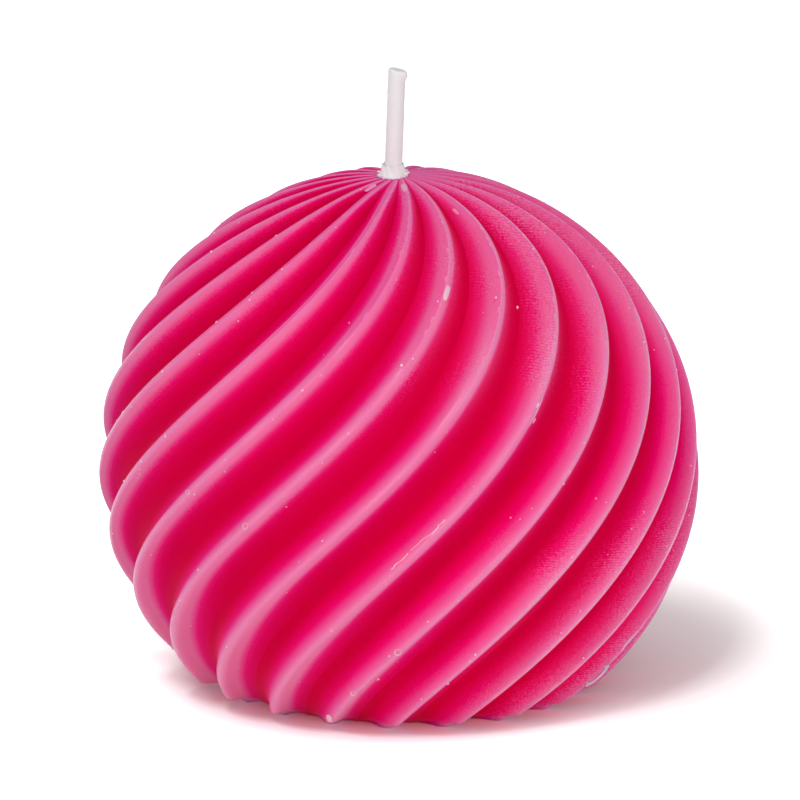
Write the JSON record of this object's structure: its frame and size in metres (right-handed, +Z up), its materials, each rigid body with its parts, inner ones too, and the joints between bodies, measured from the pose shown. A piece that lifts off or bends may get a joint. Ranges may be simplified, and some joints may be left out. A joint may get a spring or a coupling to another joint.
{
  "type": "ball candle",
  "caption": "Ball-shaped wax candle with a flat base, twisted flutes all round and a white waxed wick standing out of its crown.",
  "frame": {"origin": "middle of the flat base, on the surface that the candle stands on", "axes": "+Z up through the crown and the wick, -Y towards the front as pictured, the wick leans to +X"},
  "size_m": [0.0798, 0.0798, 0.0834],
  "materials": {
    "pink_wax": "dyed translucent paraffin wax, satin as cast",
    "cotton_braid": "braided cotton",
    "white_wax": "white priming wax, satin",
    "tinplate": "thin stamped tinplate, bright"
  },
  "bodies": {
    "root": {"wax_body": "pink_wax", "wick_braid": "cotton_braid", "wick_wax_coat": "white_wax", "wick_collar": "white_wax", "wick_sustainer": "tinplate"}
  },
  "joints": []
}
